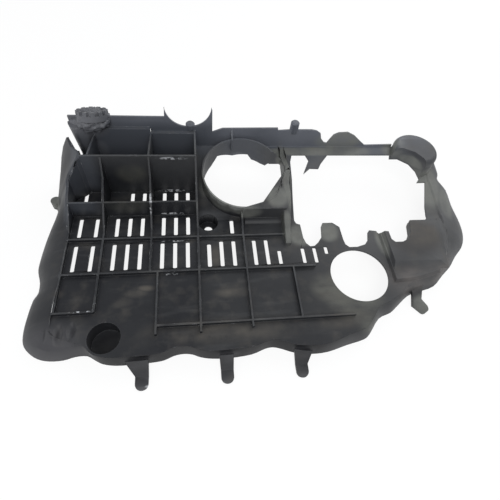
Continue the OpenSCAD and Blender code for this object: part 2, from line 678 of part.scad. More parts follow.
module pad_step(foot, top, z0, h) {
  hull() {
    translate([0, 0, z0 - over]) linear_extrude(over) polygon(foot);
    translate([0, 0, z0 + h - over]) linear_extrude(over) polygon(top);
  }
}

module raised_pad() {
  x = service_x + service_r;
  y = service_y;
  difference() {
    union() {
      pad_step([[x + 6, y - 15], [x + 40, y - 12], [x + 75, y - 3], [x + 96, y + 25], [x + 108, y + 53],
        [x + 110, y + 87], [x + 6, y + 75]], [[x + 8, y - 12], [x + 40, y - 9], [x + 74, y],
        [x + 94, y + 27], [x + 106, y + 54], [x + 108, y + 85], [x + 8, y + 73]], floor_z, 4);
      pad_step([[x + 9, y + 3], [x + 88, y + 2], [x + 98, y + 55], [x + 101, y + 84], [x + 55, y + 84],
        [x + 9, y + 72]], [[x + 12, y + 13], [x + 77, y + 12], [x + 88, y + 55], [x + 91, y + 80],
        [x + 60, y + 80], [x + 12, y + 68]], floor_z + 4, pad_h - 4);
    }
    through_cuts();
    translate([service_x, service_y, 0]) cylinder(r = service_r + 4, h = far, $fn = 96);
  }
}

// Fixing tab, with its root widened to the left and right
module tab(x, y, turn, root_l, root_r, w = tab_w) {
  translate([x, y, rim_z]) rotate([0, 0, turn])
    intersection() {
      rotate([90, 0, -90]) translate([0, 0, -far / 2]) linear_extrude(far)
        polygon([[-3, 12], [14, 4], [tab_l - 4, tab_t], [tab_l, tab_t / 2 + 0.6],
          [tab_l, tab_t / 2 - 0.6], [tab_l - 2, 0], [12, 0], [-3, 7]]);
      linear_extrude(far) {
        translate([-w / 2, -tab_l + w / 2]) square([w, tab_l]);
        translate([0, -tab_l + w / 2]) circle(w / 2, $fn = 32);
        polygon([[-w / 2 - root_l, 3], [-w / 2, -13], [w / 2, -13], [w / 2 + root_r, 3]]);
      }
    }
}

module tabs() {
  tab(col(2) - 6.5, front_y - 4, 0, 12, 0);
  tab(col(3) + 28, front_y - 4, 0, 1, 1);
  tab(col(5) - 5, front_y - 4, 0, 0, 9);
  tab(opening_right - 50, service_y - 18, 5, 3, 4, tab_w - 4);
}

// Small round lug on the rim, left of the deep pockets
module side_lug() {
  translate([left_wall_x - 30.8, row_1_y - 4, rim_z]) cylinder(r = 6.8, h = 13);
}

module corner_post() {
  post_x = left_wall_x + 16;
  post_l = back_top - 9 - floor_under;
  translate([post_x, back_y + back_t / 2, floor_under]) rotate([0, 0, 180]) rotate_extrude(angle = 180)
    polygon([[0, 0], [9, 0], [16, post_l], [0, post_l]]);
  translate([crown_x, crown_y, crown_top]) rotate([-crown_tilt, 0, 0]) translate([0, 0, -crown_l])
    difference() {
      union() {
        difference() {
          cylinder(r = crown_r, h = crown_l);
          translate([0, 0, rib_t]) cylinder(r = crown_r - 6, h = crown_l);
        }
        cylinder(r = crown_r - 13, h = crown_l - 1);
      }
      for (i = [0 : crown_notches - 1]) rotate([0, 0, i * 360 / crown_notches])
        translate([crown_r - 7, -2.5, crown_l - 5]) cube([far, 5, far]);
    }
}

module splash_shield() {
  color("#2c2d30") difference() {
    union() {
      flat_floor();
      raised_deck();
      skirt_wall();
      ribs();
      left_wall();
      screw_cup();
      blind_tube();
      back_wall();
      collar();
      bar();
      corner_boss();
      side_lug();
      raised_pad();
      tabs();
      corner_post();
    }
    hollows();
  }
}

splash_shield();
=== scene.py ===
"""Engine splash shield in black moulded plastic, lying ribbed side up on a white floor."""

import math

import bmesh
import bpy
from mathutils import Matrix, Vector, noise


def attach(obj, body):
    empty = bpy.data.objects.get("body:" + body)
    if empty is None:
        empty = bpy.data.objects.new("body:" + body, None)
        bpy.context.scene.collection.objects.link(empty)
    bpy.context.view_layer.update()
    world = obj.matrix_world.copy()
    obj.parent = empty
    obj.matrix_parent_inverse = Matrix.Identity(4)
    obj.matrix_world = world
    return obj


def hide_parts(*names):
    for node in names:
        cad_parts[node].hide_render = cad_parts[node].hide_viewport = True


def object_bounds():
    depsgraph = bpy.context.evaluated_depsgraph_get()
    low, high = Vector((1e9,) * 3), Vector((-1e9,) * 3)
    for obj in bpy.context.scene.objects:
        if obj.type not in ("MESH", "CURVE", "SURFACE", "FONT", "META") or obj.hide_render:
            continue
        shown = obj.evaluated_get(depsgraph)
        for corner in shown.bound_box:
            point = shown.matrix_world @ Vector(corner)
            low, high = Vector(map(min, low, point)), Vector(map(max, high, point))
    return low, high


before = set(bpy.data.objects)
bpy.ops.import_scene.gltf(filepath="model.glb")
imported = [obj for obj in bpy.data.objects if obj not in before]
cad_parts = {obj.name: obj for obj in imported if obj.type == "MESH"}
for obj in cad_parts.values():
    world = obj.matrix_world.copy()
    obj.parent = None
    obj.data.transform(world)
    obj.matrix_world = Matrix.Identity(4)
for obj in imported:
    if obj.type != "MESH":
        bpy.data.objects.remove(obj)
cad_low, cad_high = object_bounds()

# The moulding: one injection-moulded sheet of black polypropylene with ribs, pockets, collar,
# saddle and skirt. It is a copy of the frame's own surface with its doubles merged. All places
# and sizes in this file are in metres.
merge_gap = 0.00002
floor_top, floor_sheet = 0.015, 0.0025
deck_start, deck_rise = 0.004, 0.28
far = math.inf

moulding = bpy.data.objects.new("moulding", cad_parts["splash_shield"].data.copy())
bpy.context.scene.collection.objects.link(moulding)
bpy.ops.object.select_all(action="DESELECT")
moulding.select_set(True)
bpy.context.view_layer.objects.active = moulding
bpy.ops.object.mode_set(mode="EDIT")
bpy.ops.mesh.select_all(action="SELECT")
bpy.ops.mesh.remove_doubles(threshold=merge_gap)
bpy.ops.object.mode_set(mode="OBJECT")

shell = bmesh.new()
shell.from_mesh(moulding.data)


def deck_height(y):
    """Height of the floor's upper side, which slopes up towards the back wall."""
    return floor_top + max(0, y - deck_start) * deck_rise


def inside(point, low, high):
    """Whether the point lies between the two corners of a box."""
    return all(a < value < b for value, a, b in zip(point, low, high))


def all_inside(verts, low, high):
    """Whether all the vertices lie between the two corners of a box."""
    return all(inside(vert.co, low, high) for vert in verts)


def with_borders(faces):
    """The faces with their edges and vertices, as the bisect operator wants them."""
    return list({part for face in faces for part in (face, *face.edges, *face.verts)})


# The bar beside the collar, part of the same moulding, ends on the far lip of the opening. Its
# faces are cut across, and the cut stretch then sinks smoothly into the deck.
bar_low, bar_high = (0.1085, 0.030, -far), (0.1185, far, far)
bar_cuts = (0.070, 0.079, 0.088, 0.097, 0.106, 0.1135)
bar_end_low, bar_end_high = (0.109, 0.0695, -far), (0.118, far, far)
bar_foot, bar_left = 0.012, 0.0002
sink_start, sink_length = 0.058, 0.054

bar_faces = [face for face in shell.faces if all_inside(face.verts, bar_low, bar_high)]
for cut_y in bar_cuts:
    made = bmesh.ops.bisect_plane(
        shell,
        geom=with_borders([face for face in bar_faces if face.is_valid]),
        plane_co=(0, cut_y, 0),
        plane_no=(0, 1, 0),
        dist=1e-6,
    )
    bar_faces = [part for part in made["geom"] if isinstance(part, bmesh.types.BMFace)]
shell.normal_update()

# The right-hand arm: the deck's edge moves out until it meets the skirt, and the skirt's low lip
# there comes down to the deck, so that one runs into the other without a step.
arm_low, arm_high = (0.330, 0.003, -far), (far, 0.100, far)
arm_shift, sheet_reach = 0.0016, 0.0002
lip_low, lip_high = (0.330, -0.014, -far), (far, 0.100, far)
lip_rise, lip_facing, lip_left = (0.0003, 0.0025), -0.6, 0.0001

# The left wing: its inner edge, which faces the pockets, moves right and closes on their wall.
wing_low, wing_high = (-0.1765, 0.0468, 0.0585), (-0.1665, 0.0535, far)
wing_facing, wing_shift = (0.2, -0.5), 0.0018

# The fourth tab, a narrow strip in the frame, ends in a broad round blade turned to the right.
tab_low, tab_high = (0.268, -0.138, -far), (0.283, -0.119, -0.004)
tab_corner, tab_size = (0.2700, -0.1214), (0.0112, 0.0155)
tip_start, tip_reach, narrowest = 0.645, 0.355, 0.04
blade_corner, blade_flare = (0.2636, -0.1293), (-0.0034, -0.0008)
blade_across, blade_along = (0.0170, 0.0090), (0.0093, -0.0148)

for vert in shell.verts:
    x, y, z = was = tuple(vert.co)
    deck = deck_height(y)
    on_sheet = min(abs(z - deck), abs(z - deck + floor_sheet)) < sheet_reach
    if on_sheet and inside(was, arm_low, arm_high):
        vert.co.x += arm_shift
    on_lip = lip_rise[0] < z - deck < lip_rise[1] and vert.normal.x < lip_facing
    if on_lip and inside(was, lip_low, lip_high):
        vert.co.z = deck + lip_left
    to_pockets = vert.normal.x > wing_facing[0] and vert.normal.y < wing_facing[1]
    if to_pockets and inside(was, wing_low, wing_high):
        vert.co.x += wing_shift
    if inside(was, bar_end_low, bar_end_high) and z > deck + bar_foot:
        gone = min(1, (y - sink_start) / sink_length)
        vert.co.z = deck + bar_left + (z - deck) * (1 - gone * gone * (3 - 2 * gone))
    if inside(was, tab_low, tab_high):
        across, along = (x - tab_corner[0]) / tab_size[0], (tab_corner[1] - y) / tab_size[1]
        width = math.sqrt(max(narrowest, 1 - (max(0, along - tip_start) / tip_reach) ** 2))
        across = 0.5 + (across - 0.5) / math.sqrt(width)
        vert.co.xy = [
            blade_corner[i]
            + blade_across[i] * across
            + blade_along[i] * along
            + blade_flare[i] * across * along
            for i in (0, 1)
        ]

# Three finger-wide dents are pressed into the lower left corner. The skin there is cut into a
# fine grid, and each dent, given by its centre, half sizes and depth, sinks it by up to 2.2 mm.
dents = (
    ((-0.1850, -0.1475), (0.0040, 0.0130), 0.0009),
    ((-0.1695, -0.1485), (0.0062, 0.0140), 0.0022),
    ((-0.1563, -0.1460), (0.0056, 0.0125), 0.0022),
)
dent_low, dent_high, dent_step = (-0.1905, -0.1640), (-0.1485, -0.1320), 0.0011
corner_slack, dent_slope = 1e-5, 1.6
corner_low = tuple(low - corner_slack for low in dent_low)
corner_high = tuple(high + corner_slack for high in dent_high)
upward = 0.6
skin_low, skin_high = 0.0060, 0.0152
near_low = 0.0040


def skin_faces():
    """Faces of the upper skin inside the dented corner."""
    return [
        face
        for face in shell.faces
        if face.normal.z > upward
        and all_inside(face.verts, (*corner_low, skin_low), (*corner_high, skin_high))
    ]


def skin_nearby():
    """Faces of the upper skin that reach into the dented corner or lie left or in front of it."""
    return [
        face
        for face in shell.faces
        if face.normal.z > upward
        and all(near_low < vert.co.z < skin_high for vert in face.verts)
        and min(vert.co.x for vert in face.verts) < dent_high[0]
        and min(vert.co.y for vert in face.verts) < dent_high[1]
    ]


def cut_faces(faces, axis, at):
    """Cuts the faces along a plane across the axis."""
    on_plane, across = [0, 0, 0], [0, 0, 0]
    on_plane[axis], across[axis] = at, 1
    bmesh.ops.bisect_plane(
        shell, geom=with_borders(faces), plane_co=on_plane, plane_no=across, dist=1e-7
    )


for axis in (0, 1):
    for at in (dent_low[axis], dent_high[axis]):
        cut_faces(skin_nearby(), axis, at)
for axis in (0, 1):
    for step in range(1, math.ceil((dent_high[axis] - dent_low[axis]) / dent_step)):
        cut_faces(skin_faces(), axis, dent_low[axis] + step * dent_step)
for vert in {vert for face in skin_faces() for vert in face.verts}:
    for centre, reach, depth in dents:
        out = math.hypot((vert.co.x - centre[0]) / reach[0], (vert.co.y - centre[1]) / reach[1])
        sunk = min(1, dent_slope * max(0, 1 - out))
        vert.co.z -= depth * sunk**2 * (3 - 2 * sunk)
shell.normal_update()

# A mould leaves every arris slightly round: 0.35 mm everywhere, and 2.2 mm along the top of the
# bar. The thin tip of the left wing stays sharp, and no arris runs through the soft dents.
small_arris, bar_arris, arris_steps = 0.00035, 0.0022, 3
sharp, smooth_below = math.radians(28), math.radians(50)
wing_tip_low, wing_tip_high = (-far, 0.030, 0.030), (-0.160, 0.085, far)
dented_z = (0.0030, 0.0149)
round_low, round_high = (0.1000, -0.0405, -far), (0.1190, 0.1170, far)
round_above_deck, lengthwise = 0.006, 0.7
flat_face_weight = 90

weight = shell.edges.layers.float.new("bevel_weight_edge")
for edge in shell.edges:
    if len(edge.link_faces) != 2 or edge.calc_face_angle(0) < sharp:
        continue
    if all_inside(edge.verts, wing_tip_low, wing_tip_high):
        continue
    if all_inside(edge.verts, (*corner_low, dented_z[0]), (*corner_high, dented_z[1])):
        continue
    edge[weight] = small_arris / bar_arris
    a, b = (vert.co for vert in edge.verts)
    high_up = min(a.z, b.z) > deck_height((a.y + b.y) / 2) + round_above_deck
    along_bar = abs(a.y - b.y) > lengthwise * (a - b).length
    if high_up and along_bar and edge.is_convex and all_inside(edge.verts, round_low, round_high):
        edge[weight] = 1
shell.to_mesh(moulding.data)
shell.free()

rounding = moulding.modifiers.new("arrises", "BEVEL")
rounding.limit_method = "WEIGHT"
rounding.width = bar_arris
rounding.segments = arris_steps
rounding.use_clamp_overlap = False
rounding.miter_outer = "MITER_SHARP"
bpy.ops.object.modifier_apply(modifier=rounding.name)
bpy.ops.object.shade_smooth_by_angle(angle=smooth_below)
even = moulding.modifiers.new("even_faces", "WEIGHTED_NORMAL")
even.keep_sharp = True
even.weight = flat_face_weight
bpy.ops.object.modifier_apply(modifier=even.name)

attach(moulding, "root")
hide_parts("splash_shield")

# The knob on the corner post: the notched crown, part of the same moulding, has been crushed and
# has closed over into lobes. A lumpy dome sits in its notches, with a smaller lobe on its left.
knob_centre, knob_size = (-0.1475, 0.1168, 0.0912), (0.0235, 0.0178, 0.0150)
lobe_centre, lobe_radius = (-0.1690, 0.1172, 0.0862), 0.0070
big_lump, big_scale, big_place = 0.0036, 85, Vector((3.1, 0, 0))
small_lump, small_scale = 0.0020, 260
crease_depth, crease_scale, crease_place, crease_width = 0.0026, 105, Vector((0, 5.2, 0)), 5
lobe_lump, lobe_scale = 0.0022, 160

bpy.ops.object.select_all(action="DESELECT")
bpy.ops.mesh.primitive_uv_sphere_add(segments=72, ring_count=40, radius=1, location=knob_centre)
knob = bpy.context.object
knob.name = "crown_knob"
bpy.ops.transform.resize(value=knob_size)
bpy.ops.object.transform_apply(location=True, rotation=True, scale=True)
lumps = bmesh.new()
lumps.from_mesh(knob.data)
for vert in lumps.verts:
    big = noise.noise(vert.co * big_scale + big_place)
    small = noise.noise(vert.co * small_scale)
    crease = 1 - abs(noise.noise(vert.co * crease_scale + crease_place)) * crease_width
    rise = big_lump * big + small_lump * small - crease_depth * max(0, crease)
    vert.co += vert.normal * rise
lumps.to_mesh(knob.data)
lumps.free()
bpy.ops.object.shade_smooth()

bpy.ops.object.select_all(action="DESELECT")
bpy.ops.mesh.primitive_ico_sphere_add(subdivisions=4, radius=lobe_radius, location=lobe_centre)
side_lobe = bpy.context.object
bpy.ops.object.transform_apply(location=True, rotation=True, scale=True)
lumps = bmesh.new()
lumps.from_mesh(side_lobe.data)
for vert in lumps.verts:
    vert.co += vert.normal * lobe_lump * noise.noise(vert.co * lobe_scale)
lumps.to_mesh(side_lobe.data)
lumps.free()
bpy.ops.object.shade_smooth()

knob.select_set(True)
bpy.context.view_layer.objects.active = knob
bpy.ops.object.join()
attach(knob, "root")

# Black plastic: satin, with the fine grain of a spark-eroded mould, slow mottling from years of
# heat and oil, paler scuffs along the arrises, and tan dust that lies on the level faces.
plastic = bpy.data.materials.new("black_moulded_plastic")
plastic.use_nodes = True
tree = plastic.node_tree
tree.nodes.clear()


def node(kind, **values):
    """A node of that kind with its properties and numbered inputs (in_0, in_1 ...) set."""
    made = tree.nodes.new(kind)
    for key, value in values.items():
        if key.startswith("in_"):
            made.inputs[int(key[3:])].default_value = value
        else:
            setattr(made, key, value)
    return made


def link(source, target, out=0, into=0):
    """Joins an output of the source to an input of the target, each by number or name."""
    tree.links.new(source.outputs[out], target.inputs[into])


def spread(source, low, high, out=0):
    """The source stretched so that low reads 0 and high reads 1, held between them."""
    made = node("ShaderNodeMapRange", clamp=True, in_1=low, in_2=high)
    link(source, made, out)
    return made


def math_of(operation, first, second):
    """Two masks, or a mask and a number, joined by a sum."""
    made = node("ShaderNodeMath", operation=operation, use_clamp=True)
    link(first, made)
    if isinstance(second, (int, float)):
        made.inputs[1].default_value = second
    else:
        link(second, made, into=1)
    return made


def product(first, *others):
    """Masks and numbers multiplied one after the other."""
    for other in others:
        first = math_of("MULTIPLY", first, other)
    return first


def blend(mask, under, over):
    """The colour under, going to over where the mask reads 1."""
    made = node("ShaderNodeMix", data_type="RGBA")
    link(mask, made)
    for side, value in (("A", under), ("B", over)):
        socket = next(s for s in made.inputs if s.name == side and s.type == "RGBA")
        if isinstance(value, tuple):
            socket.default_value = value
        else:
            colour = next(s for s in value.outputs if s.type == "RGBA")
            tree.links.new(colour, socket)
    return made


place = node("ShaderNodeTexCoord")
geometry = node("ShaderNodeNewGeometry")
place_parts = node("ShaderNodeSeparateXYZ")
link(place, place_parts, out="Object")
normal_parts = node("ShaderNodeSeparateXYZ")
link(geometry, normal_parts, out="Normal")


def going(axis, start, end):
    """A mask along the object's x, y or z: 0 at start, 1 at end."""
    return spread(place_parts, start, end, out="xyz".index(axis))


def facing(axis, start, end):
    """A mask by the face's direction along x, y or z: 0 at start, 1 at end."""
    return spread(normal_parts, start, end, out="xyz".index(axis))


def noise_at(scale, detail, stretch=None, roughness=0.5):
    """Noise on the object's own coordinates, stretched along its axes if asked."""
    made = node("ShaderNodeTexNoise")
    made.inputs["Scale"].default_value = scale
    made.inputs["Detail"].default_value = detail
    made.inputs["Roughness"].default_value = roughness
    if stretch:
        stretched = node("ShaderNodeMapping")
        stretched.inputs["Scale"].default_value = stretch
        link(place, stretched, out="Object")
        link(stretched, made)
    else:
        link(place, made, out="Object")
    return made


def patch(centre, reach, soft):
    """A soft spot on the part: 1 up to the share soft of its reach, 0 beyond its reach."""
    shifted = node("ShaderNodeMapping", vector_type="POINT")
    shifted.inputs["Location"].default_value = [-c / r for c, r in zip(centre, reach)]
    shifted.inputs["Scale"].default_value = [1 / r for r in reach]
    link(place, shifted, out="Object")
    length = node("ShaderNodeVectorMath", operation="LENGTH")
    link(shifted, length)
    made = node("ShaderNodeMapRange", interpolation_type="SMOOTHSTEP", in_1=1.0, in_2=soft)
    link(length, made, out="Value")
    return made


def patches(places, soft):
    """Soft spots, each given by its centre and reach, as one mask."""
    joined = None
    for centre, reach in places:
        spot = patch(centre, reach, soft)
        joined = spot if joined is None else math_of("MAXIMUM", joined, spot)
    return joined


fresh_black = (0.0085, 0.009, 0.0115, 1)
aged_black = (0.019, 0.020, 0.022, 1)
mottle = spread(noise_at(9, 5, roughness=0.6), 0.35, 0.68)
base = blend(mottle, fresh_black, aged_black)

# Painted sheen: towards the right-hand arm, the back wall and higher up, the plastic is painted a
# paler grey, bluer near the back wall and broken up by noise, where a sheen from the lamps lies.
sheen_grey = (0.084, 0.085, 0.087, 1)
sheen_blue = (0.078, 0.085, 0.098, 1)
lean = node("ShaderNodeVectorMath", operation="DOT_PRODUCT", in_1=(0.9, 1.0, 2.5))
link(place, lean, out="Object")
sheen_ramp = spread(lean, 0.05, 0.42, out="Value")
painted_sheen = product(sheen_ramp, spread(noise_at(14, 5), 0.0, 0.60))
base = blend(painted_sheen, base, blend(going("y", 0.07, 0.12), sheen_grey, sheen_blue))

# Painted light: the tall walls at the back and round the first column of pockets, which face the
# lamps, are painted paler and bluer than the floor.
lit_wall_blue = (0.064, 0.070, 0.084, 1)
lit_back_walls = product(going("y", 0.100, 0.114), 0.8)
lit_left_walls = product(
    going("x", -0.134, -0.150),
    going("z", 0.017, 0.030),
    going("y", -0.030, 0.010),
    going("x", -0.186, -0.180),
    0.5,
)
base = blend(math_of("MAXIMUM", lit_back_walls, lit_left_walls), base, lit_wall_blue)

# Painted light: the face of the back wall, high up and towards the right, is painted paler and
# bluer still.
lit_high_wall_blue = (0.112, 0.119, 0.138, 1)
lit_high_wall = product(
    math_of("MAXIMUM", going("z", 0.078, 0.090), going("x", 0.000, 0.030)),
    going("y", 0.1165, 0.1178),
    spread(noise_at(18, 3), -0.6, 0.9),
)
base = blend(lit_high_wall, base, lit_high_wall_blue)

# Wiped smears run across the part. Painted shade: the front-facing faces of the skirt's rolled
# front edge are painted darker. The tops of the low ribs are rubbed grey and carry a painted
# highlight where they catch the light.
smear_grey = (0.070, 0.071, 0.073, 1)
smear = product(spread(noise_at(22, 4, (1, 5, 2)), 0.55, 0.75), 0.22)
base = blend(smear, base, smear_grey)

front_edge_shade_black = (0.003, 0.003, 0.004, 1)
shaded_front_edge = product(
    facing("y", -0.25, -0.75),
    going("y", -0.150, -0.168),
    going("x", 0.16, 0.12),
    going("x", -0.17, -0.12),
    0.8,
)
base = blend(shaded_front_edge, base, front_edge_shade_black)

rib_wear_and_light_grey = (0.085, 0.088, 0.092, 1)
rib_top_wear_and_light = product(
    facing("z", 0.975, 0.99),
    going("z", 0.0175, 0.0195),
    going("x", 0.20, 0.16),
    spread(noise_at(35, 4), 0.3, 1.3),
)
base = blend(rib_top_wear_and_light, base, rib_wear_and_light_grey)

# Single places painted lighter or darker: painted sheen on the tips of the tabs, painted shade on
# the top of the raised pad, painted light on the lower left corner, painted shade on the top of
# the boss, and the dusty crown.
tab_tip_sheen_grey = (0.052, 0.052, 0.055, 1)
base = blend(product(going("y", -0.196, -0.209), 0.75), base, tab_tip_sheen_grey)
for centre, reach, soft, strength, colour in (
    # Painted shade on the top of the raised pad.
    ((0.285, -0.040, 0.020), (0.055, 0.042, 0.020), 0.5, 0.85, (0.019, 0.018, 0.019, 1)),
    # Painted light on the lower left corner.
    ((-0.185, -0.165, 0.004), (0.075, 0.045, 0.030), 0.3, 0.65, (0.062, 0.061, 0.066, 1)),
    # Painted shade on the top of the boss.
    ((0.338, 0.104, 0.0600), (0.045, 0.050, 0.0090), 0.6, 0.55, (0.018, 0.019, 0.024, 1)),
    ((-0.153, 0.117, 0.094), (0.034, 0.030, 0.034), 0.6, 1.0, (0.098, 0.100, 0.110, 1)),
):
    base = blend(product(patch(centre, reach, soft), strength), base, colour)

# The bar, the web beside the collar, the far lip of the opening, the face of the boss and parts
# of the skirt and arm are painted a pale olive: partly a bloom on the plastic, partly painted
# light on faces that catch the lamps.
bloom_and_light_olive = (0.135, 0.138, 0.126, 1)
bloom_and_light_places = (
    ((0.1130, 0.045, 0.048), (0.011, 0.062, 0.030)),
    ((-0.003, 0.046, 0.040), (0.014, 0.034, 0.018)),
    ((0.010, 0.020, 0.045), (0.016, 0.020, 0.014)),
    ((0.026, 0.009, 0.043), (0.024, 0.012, 0.012)),
    ((0.1120, 0.092, 0.050), (0.012, 0.030, 0.024)),
    ((0.050, 0.003, 0.034), (0.028, 0.010, 0.014)),
    ((0.095, 0.020, 0.044), (0.020, 0.022, 0.010)),
    ((0.1060, -0.020, 0.026), (0.009, 0.035, 0.020)),
    ((0.1600, 0.109, 0.045), (0.095, 0.0090, 0.012)),
    ((0.2150, 0.110, 0.045), (0.050, 0.0110, 0.012)),
    ((0.1250, -0.025, 0.015), (0.024, 0.022, 0.012)),
    ((0.1650, -0.018, 0.015), (0.020, 0.024, 0.012)),
    ((0.0130, 0.015, 0.036), (0.034, 0.022, 0.016)),
    ((0.2030, 0.118, 0.058), (0.045, 0.012, 0.022)),
    ((0.2920, 0.112, 0.050), (0.024, 0.020, 0.016)),
    ((0.3350, 0.050, 0.030), (0.030, 0.060, 0.022)),
    ((0.3180, 0.086, 0.046), (0.034, 0.024, 0.010)),
    ((0.2410, -0.040, 0.0180), (0.014, 0.034, 0.0070)),
    ((-0.2107, 0.050, 0.003), (0.016, 0.018, 0.014)),
    ((0.3620, 0.026, 0.016), (0.016, 0.034, 0.018)),
    ((0.2760, -0.132, -0.008), (0.022, 0.026, 0.010)),
)
bloom_and_light = product(patches(bloom_and_light_places, 0.55), spread(noise_at(40, 4), 0.0, 0.75))
base = blend(bloom_and_light, base, bloom_and_light_olive)

# Arrises are scuffed to a paler grey, all but the soft ones of the dents.
scuff_grey = (0.12, 0.12, 0.122, 1)
arris_width = 0.0011
rounded_normal = node("ShaderNodeBevel", samples=6)
rounded_normal.inputs["Radius"].default_value = arris_width
flatness = node("ShaderNodeVectorMath", operation="DOT_PRODUCT")
link(rounded_normal, flatness)
link(geometry, flatness, out="Normal", into=1)
dented_corner = patch((-0.1690, -0.1480, 0.0095), (0.0240, 0.0200, 0.0090), 0.8)
off_dents = node("ShaderNodeMath", operation="SUBTRACT", use_clamp=True, in_0=1.0)
link(dented_corner, off_dents, into=1)
arris = product(spread(flatness, 0.97, 0.72, out="Value"), off_dents)
scuffed = product(arris, spread(noise_at(60, 4), 0.38, 0.62), 0.75)
base = blend(scuffed, base, scuff_grey)

# Tan dust lies on the level faces, thinly all over and thicker in some places.
dust_tan = (0.098, 0.088, 0.074, 1)
dust_places = (
    ((-0.129, -0.124, 0.015), (0.018, 0.012, 0.04)),
    ((-0.111, -0.113, 0.015), (0.022, 0.011, 0.04)),
    ((-0.092, -0.103, 0.015), (0.020, 0.008, 0.04)),
    ((-0.079, -0.097, 0.015), (0.016, 0.006, 0.04)),
    ((0.006, -0.056, 0.012), (0.012, 0.026, 0.04)),
    ((0.026, -0.108, 0.012), (0.030, 0.010, 0.04)),
    ((0.155, -0.108, 0.015), (0.040, 0.036, 0.04)),
    ((0.010, -0.156, 0.015), (0.140, 0.022, 0.04)),
    ((0.150, -0.150, 0.015), (0.060, 0.020, 0.04)),
    ((0.290, -0.030, 0.020), (0.060, 0.040, 0.04)),
)
level = facing("z", 0.75, 0.97)
thick_dust = product(patches(dust_places, 0.15), spread(noise_at(30, 6), 0.36, 0.66), level, 0.6)
thin_dust = product(level, spread(noise_at(55, 6), 0.50, 0.75), 0.22)
dust = math_of("MAXIMUM", thick_dust, thin_dust)
base = blend(dust, base, dust_tan)

# Broad patches, in this order: olive film round the service hole, olive film on the pocket
# fronts, brown film on the lower right skirt, painted shade inside the tube, the faded rim of the
# collar, the floor near the cup, a darker patch on the left wing, painted light in the shadowed
# slits at the roots of the tabs, and the pale corner post. The ones marked True are broken up by
# streaky noise.
streaks = spread(noise_at(48, 5, (1, 2, 1)), 0.15, 0.70)
for strength, streaked, colour, places in (
    (0.55, True, (0.112, 0.114, 0.098, 1), (
        ((0.178, -0.126, 0.015), (0.046, 0.034, 0.012)),
        ((0.152, -0.108, 0.015), (0.034, 0.026, 0.012)),
        ((0.196, -0.156, 0.011), (0.034, 0.020, 0.014)),
    )),
    (0.30, True, (0.098, 0.096, 0.076, 1), (
        ((-0.105, 0.014, 0.038), (0.034, 0.010, 0.022)),
        ((-0.100, 0.058, 0.050), (0.026, 0.010, 0.022)),
    )),
    (0.50, True, (0.135, 0.118, 0.108, 1), (
        ((0.262, -0.100, 0.010), (0.050, 0.036, 0.016)),
        ((0.310, -0.086, 0.008), (0.050, 0.036, 0.018)),
    )),
    # Painted shade inside the tube.
    (0.80, False, (0.0030, 0.0028, 0.0042, 1), (
        ((-0.121, -0.156, -0.004), (0.0195, 0.0195, 0.013)),
    )),
    (0.70, False, (0.190, 0.195, 0.185, 1), (
        ((0.006, 0.024, 0.045), (0.010, 0.016, 0.009)),
        ((0.016, 0.012, 0.043), (0.014, 0.010, 0.009)),
        ((0.034, 0.003, 0.040), (0.018, 0.007, 0.009)),
    )),
    (0.55, True, (0.058, 0.060, 0.064, 1), (
        ((0.002, 0.004, 0.016), (0.034, 0.024, 0.008)),
    )),
    (0.85, False, (0.016, 0.015, 0.018, 1), (
        ((-0.186, 0.080, 0.056), (0.020, 0.050, 0.040)),
    )),
    # Painted light lifts the shadow in the slits at the roots of the tabs.
    (0.55, True, (0.040, 0.040, 0.043, 1), (
        ((-0.085, -0.181, 0.003), (0.024, 0.014, 0.011)),
        ((0.0150, -0.182, 0.003), (0.018, 0.014, 0.011)),
        ((0.1040, -0.182, 0.003), (0.018, 0.014, 0.011)),
    )),
    (0.60, False, (0.100, 0.104, 0.116, 1), (
        ((-0.161, 0.105, 0.065), (0.008, 0.010, 0.030)),
        ((-0.148, 0.113, 0.045), (0.016, 0.008, 0.020)),
    )),
):
    stain_and_painted_light = patches(places, 0.45)
    if streaked:
        stain_and_painted_light = product(stain_and_painted_light, streaks)
    base = blend(product(stain_and_painted_light, strength), base, colour)

# Painted highlights: bright specks along the arrises of the ribs, and painted glints along the
# rib feet, the tall pocket wall, the left box and the tip of the first tab.
glint_speck_grey = (0.42, 0.43, 0.45, 1)
glint_specks = product(arris, spread(noise_at(150, 3), 0.60, 0.66), going("x", 0.10, 0.02), 0.8)
base = blend(glint_specks, base, glint_speck_grey)

glint_grey = (0.50, 0.51, 0.53, 1)
glint_places = (
    ((-0.045, 0.0600, 0.0780), (0.030, 0.0030, 0.0040)),
    ((-0.048, 0.0583, 0.0170), (0.024, 0.0016, 0.0030)),
    ((-0.048, 0.0153, 0.0180), (0.024, 0.0016, 0.0024)),
    ((-0.048, -0.0290, 0.0160), (0.024, 0.0016, 0.0020)),
    ((-0.048, -0.0790, 0.0160), (0.020, 0.0016, 0.0020)),
    ((-0.0745, 0.016, 0.0400), (0.0022, 0.018, 0.0160)),
    ((-0.150, -0.1250, 0.0200), (0.016, 0.0022, 0.0020)),
    ((-0.070, -0.2060, -0.0085), (0.010, 0.0025, 0.0040)),
)
glint = product(patches(glint_places, 0.5), spread(noise_at(210, 3), 0.48, 0.58), 0.75)
base = blend(glint, base, glint_grey)

# Painted shade in the three dents in the lower left corner.
dent_shade_black = (0.010, 0.010, 0.012, 1)
dent_shade_places = (
    ((-0.1848, -0.1475, 0.013), (0.00168, 0.0100, 0.03)),
    ((-0.1707, -0.1485, 0.013), (0.00434, 0.0112, 0.03)),
    ((-0.1550, -0.1465, 0.013), (0.00392, 0.0092, 0.03)),
)
base = blend(product(patches(dent_shade_places, 0.0), 0.80), base, dent_shade_black)

